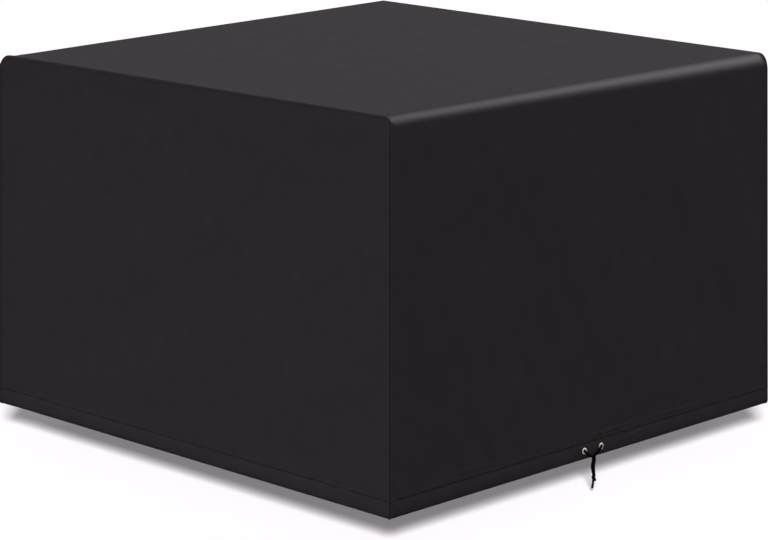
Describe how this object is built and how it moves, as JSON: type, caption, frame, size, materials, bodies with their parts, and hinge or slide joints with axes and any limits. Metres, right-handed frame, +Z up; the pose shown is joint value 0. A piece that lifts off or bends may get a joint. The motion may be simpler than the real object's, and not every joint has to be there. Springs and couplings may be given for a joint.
{
  "type": "patio furniture cover",
  "caption": "Fitted box-shaped cover of black woven cloth with soft folded top edges, sewn end panels, a turned-up hem and a knotted tie cord through brass eyelets.",
  "frame": {"origin": "the middle of the top's underside, where the cover rests on the furniture", "axes": "+Z up, +X out of the wall with the eyelets and the tie cord, +Y along that wall to the right-hand end panel as one faces it"},
  "size_m": [1.109, 1.0818, 0.774],
  "materials": {
    "oxford_cloth": "tight plain weave of coated polyester, matte with a faint sheen at low angles",
    "brass": "rolled thin brass, polished",
    "tie_cord": "braided polyester cord, matte black"
  },
  "bodies": {
    "root": {"strip_panel": "oxford_cloth", "end_panel_front": "oxford_cloth", "end_panel_back": "oxford_cloth", "eyelet_near": "brass", "eyelet_far": "brass", "tie_strand_near": "tie_cord", "tie_strand_far": "tie_cord", "tie_knot": "tie_cord"}
  },
  "joints": []
}
